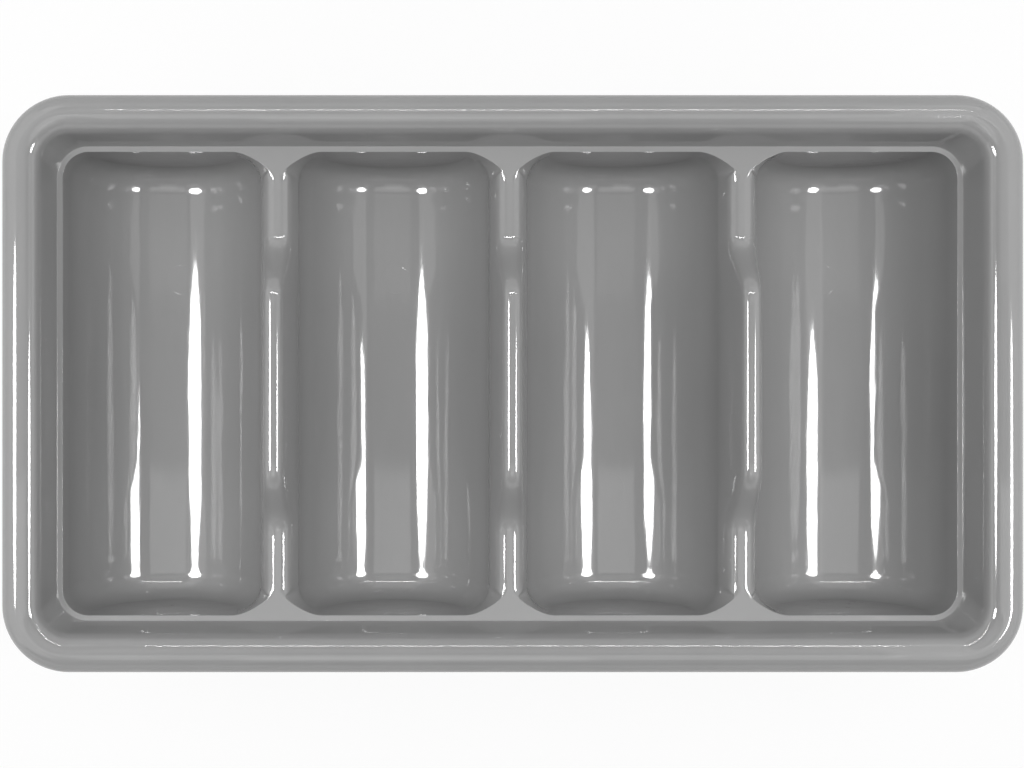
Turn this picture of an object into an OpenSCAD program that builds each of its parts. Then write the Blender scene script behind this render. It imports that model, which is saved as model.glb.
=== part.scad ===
// Cutlery tray with four round-bottomed compartments, moulded in grey plastic.
// One moulding, drawn as the regions a toolmaker would name, which meet face to face.
// X runs along the tray, Y along the compartments, Z up, with the origin under the middle.

/* [Compartments] */
// Inside width of one compartment, whose floor is half round
compartment_w = 104; // [90:1:120]
// Inside length of one compartment at the ledge
compartment_l = 247.2; // [210:0.2:300]
// Height of the straight wall between the round floor and the ledge
side_h = 17.5; // [14:0.5:30]
// Radius where the floor and the sides turn up into the end walls
end_r = 14; // [8:0.5:20]
// Width of the flat that each hull stands on
foot_w = 18; // [8:1:24]

/* [Walls] */
// Wall thickness of the moulding
wall = 2.5; // [1.5:0.1:3.5]
// Height of the rim top above the ledge
rim_rise = 28; // [22:0.5:45]
// Draft of the upper wall, in degrees
wall_draft = 6; // [2:0.5:12]
// Flat width of the ledge
ledge_w = 3; // [2:0.1:10]
// Plan radius of the upper wall's foot in the corners
wall_corner_r = 17.5; // [12:0.5:25]

/* [Rim] */
// Plan radius of the tray's outer corners
corner_r = 35; // [30:0.5:60]
// Depth of the turned-down lip
lip_h = 14; // [11:0.5:20]
// Rounding from the lip up to the crown of the rim
rim_outer_r = 9; // [5:0.5:11]
// Flat along the crown of the rim
rim_crown = 0.65; // [0.2:0.05:8]
// Rounding from the crown of the rim into the upper wall
rim_inner_r = 12; // [6:0.5:16]

/* [Dividers] */
// Width of a divider between two compartments
divider_w = 20.4; // [16:0.2:26]
// Flat left along the crown of a divider
crown_w = 0.6; // [0.2:0.1:2]
// Rounding along the low ends of a divider's crown
crown_r = 6; // [4:0.1:8]
// Rounding where the flared ends meet the ledge
flare_edge_r = 3; // [2:0.1:5]
// Rounding along the raised crown
raised_r = 4.3; // [3:0.1:6]
// Height of the raised crown above the ledge
raised_h = 23; // [10:0.5:26]
// Length of the raised crown
raised_l = 100; // [60:1:130]
// Length of each slope from the raised crown to ledge height
slope_l = 26; // [15:1:35]

/* [Hidden] */

$fn = 64;
plastic = "#9c9c9c";
compartments = 4;

// Heights: floor axis, ledge and rim
trough_r = compartment_w / 2;
axis_z = wall + trough_r;
ledge_z = axis_z + side_h;
body_h = ledge_z + rim_rise;

// Upper wall and the rim's width, from the foot of the upper wall to the lip
rim_split_z = body_h - rim_inner_r;
wall_run = (rim_split_z - ledge_z) * tan(wall_draft);
wall_slant = wall / cos(wall_draft);
inner_arc_inset = rim_outer_r + rim_crown;
wall_top_inset = inner_arc_inset + rim_inner_r / cos(wall_draft);
rim_inset = wall_top_inset + wall_run;

// Plan sizes, from the row of compartments out to the rim
pitch = compartment_w + divider_w;
opening_l = compartments * compartment_w + (compartments - 1) * divider_w;
wall_foot_l = opening_l + 2 * ledge_w;
wall_foot_w = compartment_l + 2 * ledge_w;
body_l = wall_foot_l + 2 * rim_inset;
body_w = wall_foot_w + 2 * rim_inset;

// Rim section, measured outward from the axis of a rounded corner
corner_x = body_l / 2 - corner_r;
corner_y = body_w / 2 - corner_r;
wall_top_x = corner_r - wall_top_inset;
inner_arc_x = corner_r - inner_arc_inset;
outer_arc_x = corner_r - rim_outer_r;

// Divider section and its stations along Y
divider_half = divider_w / 2;
side_run = divider_half - crown_w / 2 - crown_r;
least_r = 0.5;
flare_y = compartment_l / 2 - end_r;
arc_steps = 6;
slope_steps = 8;
flare_steps = 8;
corner_steps = 12;

function mix(a, b, t) = a + (b - a) * t;
function smooth(t) = t * t * (3 - 2 * t);
function reverse(list) = [for (i = [len(list) - 1 : -1 : 0]) list[i]];
function flip(points) = [for (p = points) [-p[0], p[1]]];

// Rounded rectangle as a flat shape
module rounded_rect(l, w, r) {
    square([l - 2 * r, w], center = true);
    square([l, w - 2 * r], center = true);
    for (x = [-1, 1], y = [-1, 1])
        translate([x * (l / 2 - r), y * (w / 2 - r)])
            circle(r);
}

// The same outline as a ring of points at height z
function plan_ring(l, w, r, z) = [
    for (quarter = [0 : 3], step = [0 : corner_steps])
        let (
            a = 90 * (quarter + step / corner_steps),
            x = (quarter == 0 || quarter == 3) ? l / 2 - r : r - l / 2,
            y = quarter < 2 ? w / 2 - r : r - w / 2
        )
        [x + r * cos(a), y + r * sin(a), z]
];

// Skin over rings with equal point counts; a loop of rings joins its last to its first.
// Each ring runs out along one face of the wall and back along the other, so an end is a
// strip of triangles across the wall.
module skin(rings, loop = false) {
    n = len(rings[0]);
    count = len(rings);
    last = (count - 1) * n;
    spans = loop ? count : count - 1;
    sides = [
        for (i = [0 : spans - 1], j = [0 : n - 1])
            let (
                a = i * n + j,
                b = i * n + (j + 1) % n,
                c = ((i + 1) % count) * n + j,
                d = ((i + 1) % count) * n + (j + 1) % n
            )
            each [[a, b, c], [b, d, c]]
    ];
    ends = loop ? [] : [
        for (j = [0 : n / 2 - 2])
            let (k = n - 1 - j)
            each [
                [j, k - 1, j + 1], [j, k, k - 1],
                [last + j, last + j + 1, last + k - 1], [last + j, last + k - 1, last + k]
            ]
    ];
    polyhedron([for (ring = rings) each ring], concat(sides, ends));
}

// Quarter of a disc, between +X and +Y
module quarter_disc(r) {
    intersection() {
        circle(r);
        square(r);
    }
}

// Area under the rim's skin, or under its inner face when inset by the wall
module rim_area(inset) {
    outer_r = rim_outer_r - inset;
    inner_r = rim_inner_r - inset;
    low_z = body_h - lip_h - inset;
    translate([outer_arc_x, body_h - rim_outer_r])
        quarter_disc(outer_r);
    translate([inner_arc_x, rim_split_z])
        mirror([1, 0])
            quarter_disc(inner_r);
    foot_x = inner_arc_x - inner_r / cos(wall_draft) - (rim_split_z - low_z) * tan(wall_draft);
    polygon([
        [foot_x, low_z],
        [corner_r - inset, low_z],
        [corner_r - inset, body_h - rim_outer_r],
        [outer_arc_x, body_h - inset],
        [inner_arc_x, body_h - inset],
        [inner_arc_x - inner_r * cos(wall_draft), rim_split_z + inner_r * sin(wall_draft)]
    ]);
}

// Rim section: crowned top, long outer lip and short inner edge that meets the upper wall
module rim_section() {
    difference() {
        rim_area(0);
        rim_area(wall);
        square([inner_arc_x, rim_split_z]);
    }
}

module rim() {
    color(plastic) {
        for (turn = [0, 180]) {
            rotate([0, 0, turn])
                translate([corner_x, 0, 0])
                    rotate([90, 0, 0])
                        linear_extrude(2 * corner_y, center = true)
                            rim_section();
            rotate([0, 0, turn + 90])
                translate([corner_y, 0, 0])
                    rotate([90, 0, 0])
                        linear_extrude(2 * corner_x, center = true)
                            rim_section();
        }
        for (x = [0, 1], y = [0, 1])
            mirror([x, 0, 0])
                mirror([0, y, 0])
                    translate([corner_x, corner_y, 0])
                        rotate_extrude(angle = 90)
                            rim_section();
    }
}

module upper_wall() {
    top_l = body_l - 2 * wall_top_inset;
    top_w = body_w - 2 * wall_top_inset;
    color(plastic)
        skin([
            plan_ring(wall_foot_l, wall_foot_w, wall_corner_r, ledge_z),
            plan_ring(top_l, top_w, wall_top_x, rim_split_z),
            plan_ring(top_l + 2 * wall_slant, top_w + 2 * wall_slant, wall_top_x + wall_slant, rim_split_z),
            plan_ring(
                wall_foot_l + 2 * wall_slant, wall_foot_w + 2 * wall_slant,
                wall_corner_r + wall_slant, ledge_z
            )
        ], loop = true);
}

// Plan of the whole ledge, from the row of compartments out under the upper wall
module ledge_plan() {
    difference() {
        rounded_rect(
            wall_foot_l + 2 * wall_slant, wall_foot_w + 2 * wall_slant,
            wall_corner_r + wall_slant
        );
        rounded_rect(opening_l, compartment_l, end_r);
    }
}

// Repeats a shape drawn about the axis of one outer corner of the row in all four corners
module at_row_corners() {
    for (x = [0, 1], y = [0, 1])
        mirror([x, 0, 0])
            mirror([0, y, 0])
                translate([opening_l / 2 - end_r, flare_y, 0])
                    children();
}

// Straight runs of the ledge
module stacking_ledge() {
    color(plastic)
        translate([0, 0, ledge_z - wall])
            linear_extrude(wall)
                difference() {
                    ledge_plan();
                    at_row_corners()
                        square(end_r + rim_inset);
                }
}

// Quarter turns of the ledge
module ledge_corners() {
    color(plastic)
        translate([0, 0, ledge_z - wall])
            linear_extrude(wall)
                intersection() {
                    ledge_plan();
                    at_row_corners()
                        square(end_r + rim_inset);
                }
}

// Quarter turns of the straight walls under the ledge
module wall_corners() {
    color(plastic)
        translate([0, 0, axis_z])
            at_row_corners()
                rotate_extrude(angle = 90)
                    translate([end_r, 0])
                        square([wall, side_h - wall]);
}

// Half-round trough with turned-up ends, grown by the wall for its outside
module trough_form(grow) {
    r = trough_r + grow;
    half_l = compartment_l / 2 + grow;
    translate([0, 0, axis_z])
        rotate([-90, 0, 0])
            rotate_extrude(angle = 180)
                intersection() {
                    rounded_rect(2 * r, 2 * half_l, end_r + grow);
                    translate([0, -half_l])
                        square([r, 2 * half_l]);
                }
}

// Places one of a row of compartments or dividers
module in_row(index, count) {
    translate([(index - (count - 1) / 2) * pitch, 0, 0])
        children();
}

// Round-bottomed hull of one compartment, up to the axis of its floor
module compartment(index) {
    color(plastic)
        in_row(index, compartments)
            difference() {
                union() {
                    trough_form(wall);
                    translate([-foot_w / 2, -flare_y, 0])
                        cube([foot_w, 2 * flare_y, wall]);
                }
                trough_form(0);
            }
}

// Plan of what one side of a compartment leaves to other regions: the whole side up to the end
// walls where a divider shares it, or else its two corners
module side_cut(shared) {
    if (shared)
        translate([trough_r, 0])
            square([trough_r, compartment_l], center = true);
    else
        for (end = [0, 1])
            mirror([0, end])
                translate([trough_r - end_r, flare_y])
                    square(trough_r);
}

// Straight walls from a hull up to the ledge
module straight_wall(index) {
    color(plastic)
        in_row(index, compartments)
            translate([0, 0, axis_z])
                linear_extrude(side_h - wall)
                    difference() {
                        rounded_rect(compartment_w + 2 * wall, compartment_l + 2 * wall, end_r + wall);
                        rounded_rect(compartment_w, compartment_l, end_r);
                        side_cut(index < compartments - 1);
                        mirror([1, 0])
                            side_cut(index > 0);
                    }
}

// Half width at a station, where the arc of the compartments' corners flares the divider out
function flare_half(half, r, y) =
    abs(y) <= flare_y ? half : half + r - sqrt(max(0, r * r - pow(abs(y) - flare_y, 2)));

// Half of a divider's section: foot, side tangent to the shoulder, then the shoulder's arc
function half_section(half, centre, r, top_z) =
    let (
        rise = top_z - r - axis_z,
        run = half - centre,
        lean = atan2(run, rise) - asin(r / norm([run, rise]))
    )
    concat(
        [[half, axis_z]],
        [
            for (step = [0 : arc_steps])
                let (a = mix(lean, 90, step / arc_steps))
                [centre + r * cos(a), top_z - r + r * sin(a)]
        ]
    );

// Closed section of the hollow divider at station y, open below
function divider_ring(y) =
    let (
        lift = 1 - smooth(max(0, min(1, (abs(y) - raised_l / 2) / slope_l))),
        flare = smooth(max(0, min(1, asin(max(0, min(1, (abs(y) - flare_y) / end_r))) / 90))),
        low_r = mix(crown_r, flare_edge_r, flare),
        r = mix(low_r, raised_r, lift),
        run = side_run * (1 - flare),
        top_z = ledge_z + raised_h * lift,
        half = flare_half(divider_half, end_r, y),
        inner_half = flare_half(divider_half - wall, end_r + wall, y),
        inner_low_r = max(low_r - wall, least_r),
        inner_r = max(r - wall, least_r),
        outside = half_section(half, half - low_r - run, r, top_z),
        inside = half_section(inner_half, inner_half - inner_low_r - run, inner_r, top_z - wall),
        section = concat(outside, reverse(flip(outside)), flip(inside), reverse(inside))
    )
    [for (p = section) [p[0], y, p[1]]];

half_stations = concat(
    [for (step = [0 : slope_steps]) raised_l / 2 + slope_l * step / slope_steps],
    [flare_y]
);
stations = concat(reverse([for (y = half_stations) -y]), half_stations);
flare_stations = [for (step = [0 : flare_steps]) flare_y + end_r * sin(90 * step / flare_steps)];

// Straight length of a divider, with its raised middle
module divider(index) {
    color(plastic)
        in_row(index, compartments - 1)
            skin([for (y = stations) divider_ring(y)]);
}

// Flared ends of a divider, one against each long run of the ledge
module flare(index) {
    color(plastic)
        in_row(index, compartments - 1)
            for (end = [0, 1])
                mirror([0, end, 0])
                    skin([for (y = flare_stations) divider_ring(y)]);
}

module compartment_1() { compartment(0); }
module compartment_2() { compartment(1); }
module compartment_3() { compartment(2); }
module compartment_4() { compartment(3); }
module straight_wall_1() { straight_wall(0); }
module straight_wall_2() { straight_wall(1); }
module straight_wall_3() { straight_wall(2); }
module straight_wall_4() { straight_wall(3); }
module divider_1() { divider(0); }
module divider_2() { divider(1); }
module divider_3() { divider(2); }
module flare_1() { flare(0); }
module flare_2() { flare(1); }
module flare_3() { flare(2); }

rim();
upper_wall();
stacking_ledge();
ledge_corners();
wall_corners();
compartment_1();
compartment_2();
compartment_3();
compartment_4();
straight_wall_1();
straight_wall_2();
straight_wall_3();
straight_wall_4();
divider_1();
divider_2();
divider_3();
flare_1();
flare_2();
flare_3();
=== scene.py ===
"""Grey moulded cutlery tray: one continuous glossy skin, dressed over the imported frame."""

import math

import bmesh
import bpy
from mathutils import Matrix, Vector


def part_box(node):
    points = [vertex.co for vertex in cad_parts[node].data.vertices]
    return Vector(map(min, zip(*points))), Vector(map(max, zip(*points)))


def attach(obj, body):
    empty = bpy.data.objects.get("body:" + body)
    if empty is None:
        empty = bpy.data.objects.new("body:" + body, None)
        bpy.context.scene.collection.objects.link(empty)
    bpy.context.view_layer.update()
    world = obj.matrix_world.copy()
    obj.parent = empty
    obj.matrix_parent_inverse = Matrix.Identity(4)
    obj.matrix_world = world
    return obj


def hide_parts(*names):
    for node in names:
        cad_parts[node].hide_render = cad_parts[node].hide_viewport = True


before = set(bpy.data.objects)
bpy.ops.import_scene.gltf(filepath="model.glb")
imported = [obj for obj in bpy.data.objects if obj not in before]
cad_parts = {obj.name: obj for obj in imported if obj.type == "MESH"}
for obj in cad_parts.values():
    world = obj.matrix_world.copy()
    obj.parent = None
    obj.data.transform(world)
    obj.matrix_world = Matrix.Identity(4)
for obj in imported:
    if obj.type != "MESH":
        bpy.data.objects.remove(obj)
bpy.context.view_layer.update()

MM = 0.001
QUARTER_TURN = math.pi / 2


# Sizes in millimetres, from the frame where a node gives them

def node_box(node):
    """Lowest and highest corner of a CAD node, in millimetres."""
    low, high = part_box(node)
    return Vector(low) / MM, Vector(high) / MM


rim_low, rim_high = node_box("rim")
hull_low, hull_high = node_box("compartment_1")
next_low = node_box("compartment_2")[0]
ledge_high = node_box("stacking_ledge")[1]
divider_high = node_box("divider_1")[1]
flare_low, flare_high = node_box("flare_1")

WALL = 2.5  # thickness of the moulding
COMPARTMENTS = 4
HALF_L = rim_high.x
HALF_W = rim_high.y
TOP_Z = rim_high.z
LIP_Z = rim_low.z  # edge of the turned-down lip
LEDGE_Z = ledge_high.z
AXIS_Z = hull_high.z  # axis of the half-round floors
RAISED_Z = divider_high.z  # top of a divider's raised middle
FLOOR_R = (hull_high.x - hull_low.x) / 2 - WALL
END_Y = hull_high.y - WALL  # inner end of a compartment
PITCH = next_low.x - hull_low.x
FIRST_X = (hull_low.x + hull_high.x) / 2  # middle of the first compartment
DIVIDER_HALF = PITCH / 2 - FLOOR_R
END_R = (flare_high.x - flare_low.x) / 2 - DIVIDER_HALF  # a compartment's corners, in plan
STRAIGHT_X = FLOOR_R - END_R  # where those corners begin
STRAIGHT_Y = END_Y - END_R

# Roundings and runs that the boxes don't give
CORNER_R = 35.0  # the rim's corners, in plan
RIM_OUTER_R = 9.4  # from the rim's top over to the lip
RIM_INNER_R = 11.0  # from the rim's top over to the wall
RIM_CROWN = 0.2  # level run between the two
WALL_TOP_Z = TOP_Z - RIM_INNER_R
WALL_DRAFT = math.radians(9)
LEDGE_EDGE_R = 0.25  # crisp edge of the ledge and of the webs
UNDER_EDGE_R = 0.6  # the same edge on the underside
LEDGE_ROOT_R = 0.6  # where the wall stands on the ledge
UNDER_ROOT_R = 1.6  # the same root on the underside
FLAT_HOLD = 0.25  # short level run that keeps a rounding's shading to itself
WALL_BEND = 0.35  # share of its rise where a compartment's wall turns from upright to its lean
CROWN_R = 8.0  # crown of a divider's low ends
CRISP_TURN = math.radians(14)  # turn of a compartment's corner over which that crown goes crisp
FLARE_POWER = 3  # how early in that corner a divider flares
RAISED_R = 5.4  # crown of a divider's raised middle
RAISED_L = 91.0
SLOPE_L = 33.0  # each slope down from the raised middle
FOOT_W = 18.0

# How finely the skin is divided
FLOOR_STEPS = 40
END_STEPS = 6
CORNER_STEPS = 18
SIDE_STEPS = 64
WALL_STEPS = 6
CROWN_STEPS = 8
ROOT_STEPS = 5
DRAFT_STEPS = 5
ARC_STEPS = 12
LIP_STEPS = 3
LIP_EDGE_STEPS = 4
NEAR = 1e-3  # points this close, in a mesh's own unit, are one


def mix(a, b, t):
    """The value a share t of the way from a to b."""
    return a + (b - a) * t


def clamp(value, low, high):
    """The value, kept within two limits."""
    return min(high, max(low, value))


def smooth(t):
    """A share that eases in and out between 0 and 1."""
    t = clamp(t, 0.0, 1.0)
    return t * t * (3 - 2 * t)


def sign(value):
    """1 for a value above zero, or else -1."""
    return 1 if value > 0 else -1


def straight(start, stop, steps):
    """Points on a straight stretch of an outline, without its first one."""
    shares = [i / steps for i in range(1, steps + 1)]
    return [(mix(start[0], stop[0], t), mix(start[1], stop[1], t)) for t in shares]


def arc(centre, r, start, stop, steps):
    """Points on a round stretch of an outline, between angles in degrees, without its first one."""
    angles = [math.radians(mix(start, stop, i / steps)) for i in range(1, steps + 1)]
    return [(centre[0] + r * math.cos(a), centre[1] + r * math.sin(a)) for a in angles]


def add_line(bm, points):
    """Joins points by edges and returns all of it, ready to spin."""
    verts = [bm.verts.new(point) for point in points]
    edges = [bm.edges.new(pair) for pair in zip(verts, verts[1:])]
    return verts + edges


def make_object(bm, name, material):
    """Makes a finished bmesh a smooth object of the scene."""
    for face in bm.faces:
        face.smooth = True
    mesh = bpy.data.meshes.new(name)
    bm.to_mesh(mesh)
    bm.free()
    mesh.materials.append(material)
    piece = bpy.data.objects.new(name, mesh)
    bpy.context.scene.collection.objects.link(piece)
    return piece


# The moulded skin, where grow is 0 for its upper face and the wall's thickness for its under face

def half_outline(grow):
    """Right half of a compartment's plan outline, from the far end's middle to the near end's."""
    end_y = END_Y + grow
    quarter = [(0, end_y)] + straight((0, end_y), (STRAIGHT_X, end_y), END_STEPS)
    quarter += arc((STRAIGHT_X, STRAIGHT_Y), END_R + grow, 90, 0, CORNER_STEPS)
    side_x, side_y = quarter[-1]
    side = straight((side_x, side_y), (side_x, -side_y), SIDE_STEPS)[:-1]
    return quarter + side + [(x, -y) for x, y in reversed(quarter)]


def add_trough(bm, centre_x, grow):
    """Half-round floor with its turned-up ends: half the plan outline, spun under the axis."""
    line = add_line(bm, [(centre_x + x, y, AXIS_Z) for x, y in half_outline(grow)])
    bmesh.ops.spin(
        bm, geom=line, cent=(centre_x, 0, AXIS_Z), axis=(0, 1, 0),
        angle=math.pi, steps=FLOOR_STEPS, use_merge=False,
    )


def compartment_at(x):
    """Number of the compartment that a point belongs to, and that compartment's middle."""
    index = clamp(round((x - FIRST_X) / PITCH), 0, COMPARTMENTS - 1)
    return index, FIRST_X + index * PITCH


def corner_turn(spot, corner):
    """How far round a plan corner a spot is: 0 on the side along Y, a quarter turn on the other."""
    past = spot - corner
    if past.y < NEAR:
        return 0.0
    if past.x < NEAR:
        return QUARTER_TURN
    return math.atan2(past.y, past.x)


def crown_at(turn, along, by_divider, grow):
    """Reach, radius, top and level run of the crown that a compartment's wall ends in."""
    edge = UNDER_EDGE_R if grow else LEDGE_EDGE_R
    if not by_divider:
        return edge, edge, LEDGE_Z - grow, FLAT_HOLD
    inner = END_R + grow
    flare = 1 - (1 - turn / QUARTER_TURN) ** FLARE_POWER
    crisp = smooth(turn / CRISP_TURN)
    lift = 1 - smooth((along - RAISED_L / 2) / SLOPE_L)
    reach = mix(DIVIDER_HALF - grow, edge, flare)
    if turn > 0:
        # A web's edge goes no further along Y than the ledge's straight edge
        reach = min(reach, (inner + edge) / math.sin(turn) - inner)
    r = mix(mix(CROWN_R, LEDGE_EDGE_R, crisp), RAISED_R, lift) - grow
    r = min(max(r, edge), reach)
    return reach, r, mix(LEDGE_Z, RAISED_Z, lift) - grow, FLAT_HOLD * flare


def wall_point(crown, step):
    """Offset and height of one ring of a wall that rises from the floor and rolls over its crown."""
    reach, r, top_z, flat = crown
    if step > WALL_STEPS + CROWN_STEPS:
        return reach + flat, top_z
    bend_z = mix(AXIS_Z, top_z - r, WALL_BEND)
    rest = top_z - r - bend_z
    lean = math.atan2(reach, rest) - math.asin(r / math.hypot(reach, rest))
    if step > WALL_STEPS:
        angle = mix(lean, QUARTER_TURN, (step - WALL_STEPS) / CROWN_STEPS)
        return reach - r * math.cos(angle), top_z - r + r * math.sin(angle)
    t = step / WALL_STEPS
    end_offset = reach - r * math.cos(lean)
    end_z = top_z - r + r * math.sin(lean)
    return end_offset * t * t, AXIS_Z * (1 - t) ** 2 + 2 * bend_z * t * (1 - t) + end_z * t * t


def place_on_wall(co, grow, step):
    """Where a point of the last ring goes on the next ring round its compartment's mouth."""
    index, centre_x = compartment_at(co.x)
    side = sign(co.x - centre_x)
    spot = Vector((abs(co.x - centre_x), abs(co.y)))
    corner = Vector((STRAIGHT_X, STRAIGHT_Y))
    turn = corner_turn(spot, corner)
    by_divider = 0 <= index + side < COMPARTMENTS
    offset, z = wall_point(crown_at(turn, spot.y, by_divider, grow), step)
    out = END_R + grow + offset
    x = min(spot.x, corner.x) + out * math.cos(turn)
    y = min(spot.y, corner.y) + out * math.sin(turn)
    return Vector((centre_x + side * x, sign(co.y) * y, z))


def rim_rings(grow):
    """Section from the ledge up the wall, over the rolled rim and down the lip, as inset and height."""
    draft = math.degrees(WALL_DRAFT)
    lean = math.tan(WALL_DRAFT)
    crown_inset = RIM_OUTER_R + RIM_CROWN
    inner_r = RIM_INNER_R - grow
    root_r = UNDER_ROOT_R if grow else LEDGE_ROOT_R
    root_z = LEDGE_Z - grow + root_r
    wall_inset = crown_inset + inner_r / math.cos(WALL_DRAFT)
    foot_inset = wall_inset + (WALL_TOP_Z - LEDGE_Z + grow) * lean
    root_inset = foot_inset - lean * root_r * (1 - math.sin(WALL_DRAFT)) + root_r * math.cos(WALL_DRAFT)
    wall_end = (
        crown_inset + inner_r * math.cos(WALL_DRAFT),
        WALL_TOP_Z + inner_r * math.sin(WALL_DRAFT),
    )
    lip_r = WALL / 2
    lip_from, lip_to = (0, -90) if grow else (180, 270)

    rings = [(root_inset + FLAT_HOLD, root_z - root_r), (root_inset, root_z - root_r)]
    rings += arc((root_inset, root_z), root_r, -90, draft - 180, ROOT_STEPS)
    rings += straight(rings[-1], wall_end, DRAFT_STEPS)
    rings += arc((crown_inset, WALL_TOP_Z), inner_r, draft, 90, ARC_STEPS)
    rings += [(RIM_OUTER_R, TOP_Z - grow)]
    rings += arc((RIM_OUTER_R, TOP_Z - RIM_OUTER_R), RIM_OUTER_R - grow, 90, 180, ARC_STEPS)
    rings += straight(rings[-1], (grow, LIP_Z + lip_r), LIP_STEPS)
    rings += arc((lip_r, LIP_Z + lip_r), lip_r, lip_from, lip_to, LIP_EDGE_STEPS)
    return rings


def corner_centre(z):
    """Plan centre of a rounded corner: the ledge's low down, the rim's from the wall's top up."""
    t = clamp((z - LEDGE_Z) / (WALL_TOP_Z - LEDGE_Z), 0.0, 1.0)
    return Vector((
        mix(STRAIGHT_X - FIRST_X, HALF_L - CORNER_R, t),
        mix(STRAIGHT_Y, HALF_W - CORNER_R, t),
    ))


def place_on_ring(co, inset, z):
    """Where a point of the last ring goes on a ring of the ledge, wall, rim or lip."""
    old = corner_centre(co.z)
    new = corner_centre(z)
    spot = Vector((abs(co.x), abs(co.y)))
    turn = corner_turn(spot, old)
    x = min(spot.x, old.x) * new.x / old.x + (HALF_L - inset - new.x) * math.cos(turn)
    y = min(spot.y, old.y) * new.y / old.y + (HALF_W - inset - new.y) * math.sin(turn)
    return Vector((sign(co.x) * x, sign(co.y) * y, z))


def extrude_edges(bm, edges, place):
    """Extrudes edges by one ring, puts its points in place and returns its edges."""
    made = bmesh.ops.extrude_edge_only(bm, edges=edges)["geom"]
    for item in made:
        if isinstance(item, bmesh.types.BMVert):
            item.co = place(item.co)
    return [item for item in made if isinstance(item, bmesh.types.BMEdge) and item.is_boundary]


def bridge_flares(bm, edges):
    """Fills the flat Y webs where a divider's end flares out between two compartments."""
    web_half = PITCH / 2 - STRAIGHT_X
    for divider in range(COMPARTMENTS - 1):
        middle = FIRST_X + (divider + 0.5) * PITCH
        for end in (-1, 1):
            sides = [
                edge for edge in edges
                if all(
                    end * v.co.y > STRAIGHT_Y - NEAR and abs(v.co.x - middle) < web_half + NEAR
                    for v in edge.verts
                )
            ]
            bmesh.ops.bridge_loops(bm, edges=sides)


def merge_and_find_open(bm):
    """Merges points that meet and returns the edges that are still open."""
    bmesh.ops.remove_doubles(bm, verts=bm.verts, dist=NEAR)
    return [edge for edge in bm.edges if edge.is_boundary]


def add_skin(bm, grow):
    """One face of the moulding, from the compartments' floors out to the edge of the lip."""
    for index in range(COMPARTMENTS):
        add_trough(bm, FIRST_X + index * PITCH, grow)
    edges = merge_and_find_open(bm)
    for step in range(1, WALL_STEPS + CROWN_STEPS + 2):
        edges = extrude_edges(bm, edges, lambda co, step=step: place_on_wall(co, grow, step))
    bridge_flares(bm, edges)
    edges = merge_and_find_open(bm)
    for inset, z in rim_rings(grow):
        edges = extrude_edges(bm, edges, lambda co, inset=inset, z=z: place_on_ring(co, inset, z))


def flatten_feet(bm):
    """Presses a flat foot strip into the underside of each hull."""
    for v in bm.verts:
        beside = abs(v.co.x - compartment_at(v.co.x)[1])
        if v.co.z < WALL / 2 and beside < FOOT_W / 2 and abs(v.co.y) < STRAIGHT_Y + NEAR:
            v.co.z = 0


def merge_in(bm, other):
    """Adds another bmesh's faces to this one."""
    part = bpy.data.meshes.new("part")
    other.to_mesh(part)
    other.free()
    bm.from_mesh(part)
    bpy.data.meshes.remove(part)


def make_tray(material):
    """The moulding: its upper and under skins, joined along the edge of the lip."""
    bm = bmesh.new()
    add_skin(bm, 0.0)
    under = bmesh.new()
    add_skin(under, WALL)
    flatten_feet(under)
    merge_in(bm, under)
    bmesh.ops.remove_doubles(bm, verts=bm.verts, dist=NEAR)
    bmesh.ops.recalc_face_normals(bm, faces=bm.faces)
    bmesh.ops.scale(bm, vec=(MM, MM, MM), verts=bm.verts)
    return make_object(bm, "tray_moulding", material)


# Materials, with pattern sizes and depths in millimetres

ABS_IOR = 1.53
ABS_GREYS = ("#909090", "#989898")
POLISHED = 0.06  # roughness of the polished skin
SCUFFED = 0.14  # roughness along a scuff
SCUFF_FROM = 0.55  # level of the scuff pattern at which a scuff begins to show
SCUFF_TO = 0.8  # level at which it is roughest

# Size of each noise pattern along X, Y and Z, and its detail
PATTERNS = {
    "mottle": ((45, 70, 45), 3.0),
    # Drawn coarser than real scuffs, which are too fine to show
    "scuff": ((0.6, 40, 0.6), 2.0),
    "wave": ((18, 110, 18), 1.0),
    "ripple": ((4, 30, 4), 1.0),
}
WAVE_DEPTH = 0.2
RIPPLE_DEPTH = 0.04
STIFF_SHARE = 0.2  # share of both depths that is left from the ledge up

EJECTOR_Y = 60.5  # from a compartment's middle to each of its two pins
EJECTOR_R = 8.3
EJECTOR_LINE = 0.6
EJECTOR_DEPTH = 0.015

PAPER_WHITE = "#f0f0f0"
GLOW_SHARE = 0.85  # share of plain white in the paper as it is seen


def linear(hex_colour):
    """An sRGB hex colour as linear RGBA."""
    values = [int(hex_colour[i:i + 2], 16) / 255 for i in (1, 3, 5)]
    return [v / 12.92 if v <= 0.04045 else ((v + 0.055) / 1.055) ** 2.4 for v in values] + [1.0]


def add_node(tree, kind, inputs, **settings):
    """Adds a node with its settings, and its inputs by name or place as values or linked sockets."""
    node = tree.nodes.new(kind)
    for name, value in settings.items():
        setattr(node, name, value)
    for name, value in inputs.items():
        if isinstance(value, bpy.types.NodeSocket):
            tree.links.new(value, node.inputs[name])
        else:
            node.inputs[name].default_value = value
    return node


def per_metre(sizes):
    """Pattern scale that makes features about this many millimetres large along each axis."""
    return [1 / (size * MM) for size in sizes]


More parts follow.
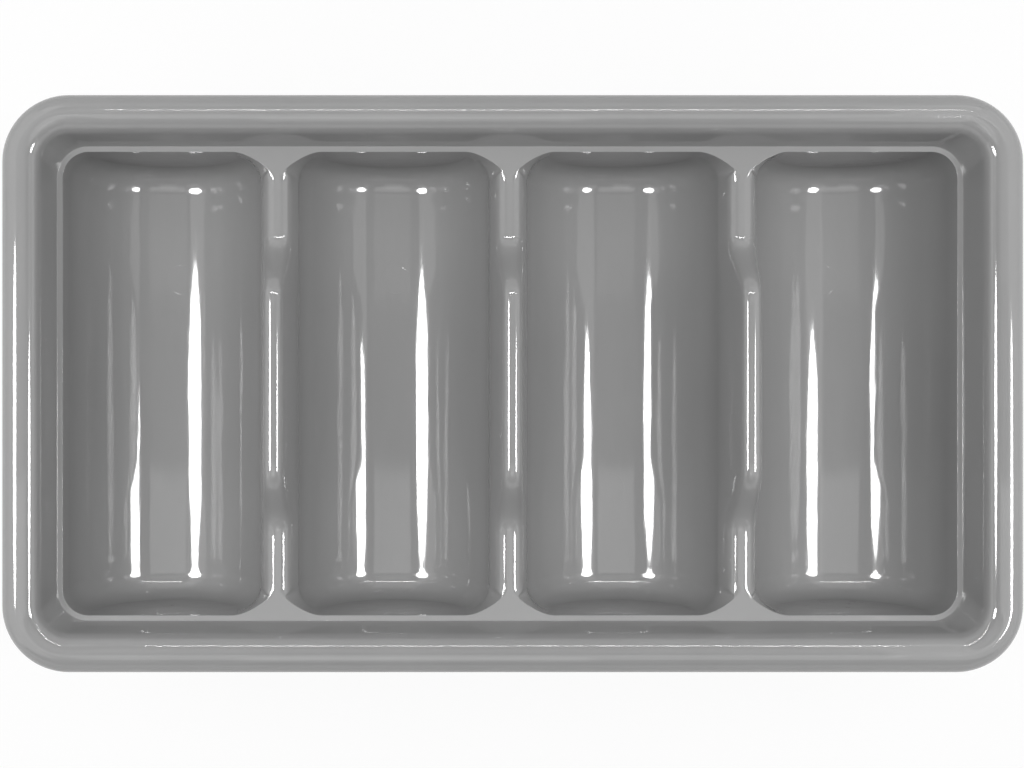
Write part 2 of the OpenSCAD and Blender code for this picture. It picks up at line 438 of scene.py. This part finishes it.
def ejector_rings(tree, place):
    """Faint circles that the mould's ejector pins leave on the floor of each compartment."""
    flat = add_node(tree, "ShaderNodeMapping", {
        "Vector": place, "Location": (-FIRST_X * MM, -EJECTOR_Y * MM, 0), "Scale": (1, 1, 0),
    })
    half = Vector((PITCH / 2, EJECTOR_Y, 1)) * MM
    span = {0: flat.outputs[0], 1: half, 2: -half}
    near = add_node(tree, "ShaderNodeVectorMath", span, operation="WRAP")
    reach = add_node(tree, "ShaderNodeVectorMath", {0: near.outputs[0]}, operation="LENGTH")
    ring = {0: reach.outputs["Value"], 1: EJECTOR_R * MM, 2: EJECTOR_LINE / 2 * MM}
    return add_node(tree, "ShaderNodeMath", ring, operation="COMPARE").outputs[0]


def moulded_abs():
    """Grey ABS from a polished mould, so a clear gloss. The eye gets highlights that waver along the
    thin compartment walls, a faint flow mottle in the grey, fine scuffs from cutlery and pin rings."""
    material = bpy.data.materials.new("moulded_abs_grey")
    material.use_nodes = True
    tree = material.node_tree
    shader = tree.nodes["Principled BSDF"]
    shader.inputs["IOR"].default_value = ABS_IOR
    place = add_node(tree, "ShaderNodeTexCoord", {}).outputs["Object"]

    patterns = {}
    for name, (sizes, detail) in PATTERNS.items():
        sized = add_node(tree, "ShaderNodeMapping", {"Vector": place, "Scale": per_metre(sizes)})
        field = {"Vector": sized.outputs[0], "Scale": 1.0, "Detail": detail}
        patterns[name] = add_node(tree, "ShaderNodeTexNoise", field).outputs["Fac"]

    grey = add_node(tree, "ShaderNodeValToRGB", {"Fac": patterns["mottle"]})
    for stop, colour in zip(grey.color_ramp.elements, ABS_GREYS):
        stop.color = linear(colour)
    tree.links.new(grey.outputs["Color"], shader.inputs["Base Color"])

    gloss = add_node(tree, "ShaderNodeMapRange", {
        "Value": patterns["scuff"],
        "From Min": SCUFF_FROM, "From Max": SCUFF_TO, "To Min": POLISHED, "To Max": SCUFFED,
    })
    tree.links.new(gloss.outputs[0], shader.inputs["Roughness"])

    # The half-round floors waver most, and the stiff rim least
    height = add_node(tree, "ShaderNodeSeparateXYZ", {"Vector": place}).outputs["Z"]
    thin = add_node(tree, "ShaderNodeMapRange", {
        "Value": height,
        "From Min": AXIS_Z * MM, "From Max": LEDGE_Z * MM, "To Min": 1.0, "To Max": STIFF_SHARE,
    })
    waver = add_node(tree, "ShaderNodeBump", {
        "Height": patterns["wave"], "Distance": WAVE_DEPTH * MM, "Strength": thin.outputs[0],
    })
    ripple = add_node(tree, "ShaderNodeBump", {
        "Height": patterns["ripple"], "Distance": RIPPLE_DEPTH * MM, "Strength": thin.outputs[0],
        "Normal": waver.outputs[0],
    })
    rings = add_node(tree, "ShaderNodeBump", {
        "Height": ejector_rings(tree, place), "Distance": EJECTOR_DEPTH * MM,
        "Normal": ripple.outputs[0],
    })
    tree.links.new(rings.outputs[0], shader.inputs["Normal"])
    return material


def white_paper():
    """Smooth white studio paper: it shows white to the lens and in gloss, and keeps a soft shadow."""
    material = bpy.data.materials.new("studio_paper_white")
    material.use_nodes = True
    tree = material.node_tree
    tree.nodes.remove(tree.nodes["Principled BSDF"])
    paper = add_node(tree, "ShaderNodeBsdfDiffuse", {"Color": linear(PAPER_WHITE)})
    glow = add_node(tree, "ShaderNodeEmission", {"Strength": 1.0})
    path = add_node(tree, "ShaderNodeLightPath", {})
    seen = path.outputs["Is Camera Ray"]
    for ray in ("Is Glossy Ray", "Is Transmission Ray"):
        either = {0: path.outputs[ray], 1: seen}
        seen = add_node(tree, "ShaderNodeMath", either, operation="MAXIMUM").outputs[0]
    share = add_node(tree, "ShaderNodeMath", {0: seen, 1: GLOW_SHARE}, operation="MULTIPLY")
    blend = add_node(tree, "ShaderNodeMixShader", {
        0: share.outputs[0], 1: paper.outputs[0], 2: glow.outputs[0],
    })
    tree.links.new(blend.outputs[0], tree.nodes["Material Output"].inputs["Surface"])
    return material


# Stage and light, in metres

SWEEP_R = 4.0
SWEEP_H = 1.8
COVE_R = 1.2
SWEEP_STEPS = 96

SHEET_X = 0.05
SHEET_Z = 1.6
SHEET_W = 1.32
SHEET_FAR_Y = 0.90
CORE_LEVEL = 30.0
FADE_SHARES = (1.0, 0.7, 0.4)  # a lamp in layers of these sizes has edges that fade
AIR_GREY = "#363636"


def make_sweep(material):
    """Paper floor that rolls up all round into a low backdrop."""
    cove = (SWEEP_R - COVE_R, COVE_R)
    section = [(0, 0), (cove[0], 0)] + arc(cove, COVE_R, -90, 0, ARC_STEPS) + [(SWEEP_R, SWEEP_H)]
    bm = bmesh.new()
    line = add_line(bm, [(x, 0, z) for x, z in section])
    bmesh.ops.spin(
        bm, geom=line, cent=(0, 0, 0), axis=(0, 0, 1),
        angle=2 * math.pi, steps=SWEEP_STEPS, use_merge=True,
    )
    bmesh.ops.remove_doubles(bm, verts=bm.verts, dist=NEAR)
    sweep = make_object(bm, "paper_sweep", material)


def add_softbox(name, place, size, radiance, aim=None):
    """A rectangular lamp that faces down, or leans along X or Y to face a point at the rim's height."""
    lamp = bpy.data.lights.new(name, "AREA")
    lamp.shape = "RECTANGLE"
    lamp.size, lamp.size_y = size
    lamp.energy = radiance * math.pi * size[0] * size[1]
    box = bpy.data.objects.new(name, lamp)
    box.location = place
    if aim:
        rise = place[2] - TOP_Z * MM
        lean_y = math.atan2(aim[1] - place[1], rise)
        lean_x = math.atan2(place[0] - aim[0], rise)
        box.rotation_euler = (lean_y, lean_x, 0)
    bpy.context.scene.collection.objects.link(box)
    return box


def add_sheet(name, near_y, radiance, side=1):
    """A wide lamp overhead, from near_y to the far edge, behind the lens or, with side -1, before it."""
    place = (SHEET_X, side * (near_y + SHEET_FAR_Y) / 2, SHEET_Z)
    return add_softbox(name, place, (SHEET_W, SHEET_FAR_Y - near_y), radiance)


def make_lights():
    """A broad key lamp above the tray, and the sheets, softboxes, cores and bar that its gloss mirrors."""
    key = add_softbox("key_light", place=(0, 0, 3.2), size=(3.2, 0.8), radiance=9.4)
    key.visible_glossy = False
    for near_y, radiance in ((0.15, 0.4), (0.24, 0.6), (0.32, 1.2)):
        add_sheet("overhead_sheet", near_y, radiance)
    add_softbox("right_softbox", (0.50, 0.05, 0.45), size=(0.45, 0.9), radiance=0.95, aim=(0, 0.05))
    add_softbox("left_softbox", (-0.50, 0.05, 0.42), size=(0.40, 0.9), radiance=1.05, aim=(0, 0.05))

    # The others show in the gloss alone
    gloss_only = []
    for name, place, size in (
        ("right_core", (0.58, -0.115, 0.72), (0.20, 0.35)),
        ("left_core", (-0.50, -0.04, 0.66), (0.21, 0.34)),
    ):
        core = add_softbox(name, place, size, CORE_LEVEL, aim=(0, place[1]))
        core.data.shape = "ELLIPSE"
        gloss_only.append(core)
    gloss_only.append(add_sheet("front_sheet", near_y=0.15, radiance=1.2, side=-1))
    for share in FADE_SHARES:
        middle_size = (0.45 * share, 0.5 * share)
        back_size = (1.3, 0.4 * share)
        gloss_only += [
            add_softbox("middle_sheet", (-0.05, -0.62, 1.1), middle_size, radiance=0.8, aim=(-0.05, 0)),
            add_softbox("back_softbox", (0.05, 0.70, 0.62), back_size, radiance=0.7, aim=(0.05, 0)),
        ]
    gloss_only.append(add_softbox("back_bar", (0.04, 0.217, 0.416), size=(0.64, 0.010), radiance=60.0))
    for box in gloss_only:
        box.visible_diffuse = False


def make_world():
    """Still grey air, which only lifts the shadows."""
    world = bpy.data.worlds.new("studio_air")
    world.use_nodes = True
    world.node_tree.nodes["Background"].inputs["Color"].default_value = linear(AIR_GREY)
    bpy.context.scene.world = world


# Photo frame: 1024 by 768 pixels, with the point straight under the lens at its own pixel
PHOTO_W = 1024
PHOTO_H = 768
NADIR_PX = (420, 383.6)
CAMERA_X = -0.048
CAMERA_Z = 0.8305
LENS_MM = 50.0


def make_camera():
    """A camera that looks straight down, with its picture shifted to the photo's frame."""
    lens = bpy.data.cameras.new("camera")
    lens.lens = LENS_MM
    lens.shift_x = (PHOTO_W / 2 - NADIR_PX[0]) / PHOTO_W
    lens.shift_y = (NADIR_PX[1] - PHOTO_H / 2) / PHOTO_W
    camera = bpy.data.objects.new("camera", lens)
    camera.location = (CAMERA_X, 0, CAMERA_Z)
    bpy.context.scene.collection.objects.link(camera)
    bpy.context.scene.camera = camera


tray = make_tray(moulded_abs())
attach(tray, "root")
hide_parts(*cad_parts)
make_sweep(white_paper())
make_lights()
make_world()
make_camera()
bpy.context.scene.view_settings.view_transform = "Standard"
